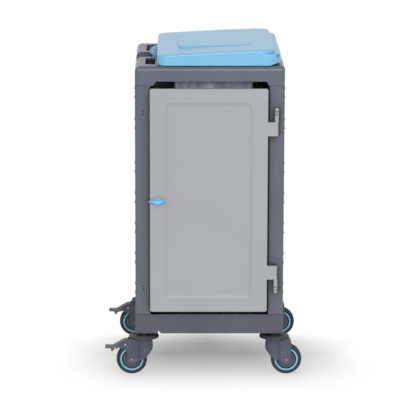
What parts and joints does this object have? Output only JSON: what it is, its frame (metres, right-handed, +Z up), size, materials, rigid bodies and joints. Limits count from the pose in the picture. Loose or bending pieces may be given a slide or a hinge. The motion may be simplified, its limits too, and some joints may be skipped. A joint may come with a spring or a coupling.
{
  "type": "waste collection cart",
  "caption": "Upright waste collection cart on braked swivel casters, with a hinged side door, a sloping hinged lid with a grip lip, hand grips and a hanging bag.",
  "frame": {"origin": "on the floor, under the centre of the rectangular frame", "axes": "+Z up, -Y out of the door, -X towards the hand grips and the lid hinge"},
  "size_m": [0.643, 0.5978, 1.0731],
  "materials": {
    "frame_plastic": "satin moulded dark grey",
    "base_plastic": "satin moulded dark grey, a shade deeper",
    "tray_plastic": "moulded charcoal",
    "panel_plastic": "fine-grained moulded light grey",
    "lid_plastic": "smooth light blue",
    "latch_plastic": "smooth light blue",
    "bush_plastic": "mid grey",
    "steel": "zinc plated",
    "bag_film": "thin creased pale grey film",
    "bumper_rubber": "dark grey rubber",
    "caster_plastic": "moulded dark grey",
    "hub_plastic": "moulded dark grey",
    "ring_plastic": "smooth pale blue",
    "tyre": "dark grey non-marking rubber",
    "pedal_plastic": "moulded warm grey"
  },
  "bodies": {
    "frame": {"base_frame": "base_plastic", "floor_tray": "tray_plastic", "top_frame": "frame_plastic", "lid_hinge_bracket": "tray_plastic", "left_side_panel": "panel_plastic", "right_side_panel": "panel_plastic", "rear_panel": "panel_plastic", "upper_hinge_strap": "panel_plastic", "lower_hinge_strap": "panel_plastic", "hinge_strap_screws": "steel", "lid_hinge_pin": "steel", "bag_ring": "tray_plastic", "waste_bag": "bag_film", "stem_nuts": "steel", "front_left_post": "frame_plastic", "front_right_post": "frame_plastic", "rear_left_post": "frame_plastic", "rear_right_post": "frame_plastic", "front_left_caster_stem": "steel", "front_right_caster_stem": "steel", "rear_left_caster_stem": "steel", "rear_right_caster_stem": "steel"},
    "lid": {"lid": "lid_plastic"},
    "door": {"door_panel": "panel_plastic", "latch_bush": "bush_plastic"},
    "latch": {"latch_knob": "latch_plastic", "latch_tongue": "steel", "latch_screw": "steel"},
    "front_left_bumper_wheel": {"front_left_bumper": "bumper_rubber"},
    "front_left_caster": {"front_left_fork": "caster_plastic", "front_left_swivel_bearing": "steel", "front_left_axle": "steel", "front_left_pedal_pin": "steel"},
    "front_left_wheel": {"front_left_tyre": "tyre", "front_left_wheel_ring": "ring_plastic", "front_left_wheel_hub": "hub_plastic"},
    "front_right_bumper_wheel": {"front_right_bumper": "bumper_rubber"},
    "front_right_caster": {"front_right_fork": "caster_plastic", "front_right_swivel_bearing": "steel", "front_right_axle": "steel"},
    "front_right_wheel": {"front_right_tyre": "tyre", "front_right_wheel_ring": "ring_plastic", "front_right_wheel_hub": "hub_plastic"},
    "rear_left_bumper_wheel": {"rear_left_bumper": "bumper_rubber"},
    "rear_left_caster": {"rear_left_fork": "caster_plastic", "rear_left_swivel_bearing": "steel", "rear_left_axle": "steel", "rear_left_pedal_pin": "steel"},
    "rear_left_wheel": {"rear_left_tyre": "tyre", "rear_left_wheel_ring": "ring_plastic", "rear_left_wheel_hub": "hub_plastic"},
    "rear_right_bumper_wheel": {"rear_right_bumper": "bumper_rubber"},
    "rear_right_caster": {"rear_right_fork": "caster_plastic", "rear_right_swivel_bearing": "steel", "rear_right_axle": "steel"},
    "rear_right_wheel": {"rear_right_tyre": "tyre", "rear_right_wheel_ring": "ring_plastic", "rear_right_wheel_hub": "hub_plastic"},
    "front_left_brake": {"front_left_brake_pedal": "pedal_plastic"},
    "rear_left_brake": {"rear_left_brake_pedal": "pedal_plastic"}
  },
  "joints": [
    {"name": "lid_hinge", "type": "hinge", "parent": "frame", "child": "lid", "pos_m": [-0.185, 0, 1.033], "axis": [0, -1, 0], "range_deg": [0, 105]},
    {"name": "door_hinge", "type": "hinge", "parent": "frame", "child": "door", "pos_m": [0.2145, -0.2815, 0.583], "axis": [0, 0, 1], "range_deg": [0, 175]},
    {"name": "latch_turn", "type": "hinge", "parent": "door", "child": "latch", "pos_m": [-0.1675, -0.2865, 0.584], "axis": [0, 1, 0], "range_deg": [0, 90]},
    {"name": "front_left_bumper_turn", "type": "hinge", "parent": "frame", "child": "front_left_bumper_wheel", "pos_m": [-0.213, -0.243, 0.132], "axis": [0, 0, 1], "continuous": true},
    {"name": "front_left_swivel", "type": "hinge", "parent": "frame", "child": "front_left_caster", "pos_m": [-0.213, -0.243, 0.11], "axis": [0, 0, 1], "continuous": true},
    {"name": "front_left_wheel_roll", "type": "hinge", "parent": "front_left_caster", "child": "front_left_wheel", "pos_m": [-0.253, -0.243, 0.05], "axis": [0, 1, 0], "continuous": true},
    {"name": "front_right_bumper_turn", "type": "hinge", "parent": "frame", "child": "front_right_bumper_wheel", "pos_m": [0.213, -0.243, 0.132], "axis": [0, 0, 1], "continuous": true},
    {"name": "front_right_swivel", "type": "hinge", "parent": "frame", "child": "front_right_caster", "pos_m": [0.213, -0.243, 0.11], "axis": [0, 0, 1], "continuous": true},
    {"name": "front_right_wheel_roll", "type": "hinge", "parent": "front_right_caster", "child": "front_right_wheel", "pos_m": [0.253, -0.243, 0.05], "axis": [0, 1, 0], "continuous": true},
    {"name": "rear_left_bumper_turn", "type": "hinge", "parent": "frame", "child": "rear_left_bumper_wheel", "pos_m": [-0.213, 0.243, 0.132], "axis": [0, 0, 1], "continuous": true},
    {"name": "rear_left_swivel", "type": "hinge", "parent": "frame", "child": "rear_left_caster", "pos_m": [-0.213, 0.243, 0.11], "axis": [0, 0, 1], "continuous": true},
    {"name": "rear_left_wheel_roll", "type": "hinge", "parent": "rear_left_caster", "child": "rear_left_wheel", "pos_m": [-0.253, 0.243, 0.05], "axis": [0, 1, 0], "continuous": true},
    {"name": "rear_right_bumper_turn", "type": "hinge", "parent": "frame", "child": "rear_right_bumper_wheel", "pos_m": [0.213, 0.243, 0.132], "axis": [0, 0, 1], "continuous": true},
    {"name": "rear_right_swivel", "type": "hinge", "parent": "frame", "child": "rear_right_caster", "pos_m": [0.213, 0.243, 0.11], "axis": [0, 0, 1], "continuous": true},
    {"name": "rear_right_wheel_roll", "type": "hinge", "parent": "rear_right_caster", "child": "rear_right_wheel", "pos_m": [0.253, 0.243, 0.05], "axis": [0, 1, 0], "continuous": true},
    {"name": "front_left_brake_press", "type": "hinge", "parent": "front_left_caster", "child": "front_left_brake", "pos_m": [-0.274, -0.243, 0.101], "axis": [0, -1, 0], "range_deg": [0, 11]},
    {"name": "rear_left_brake_press", "type": "hinge", "parent": "rear_left_caster", "child": "rear_left_brake", "pos_m": [-0.274, 0.243, 0.101], "axis": [0, -1, 0], "range_deg": [0, 11]}
  ]
}
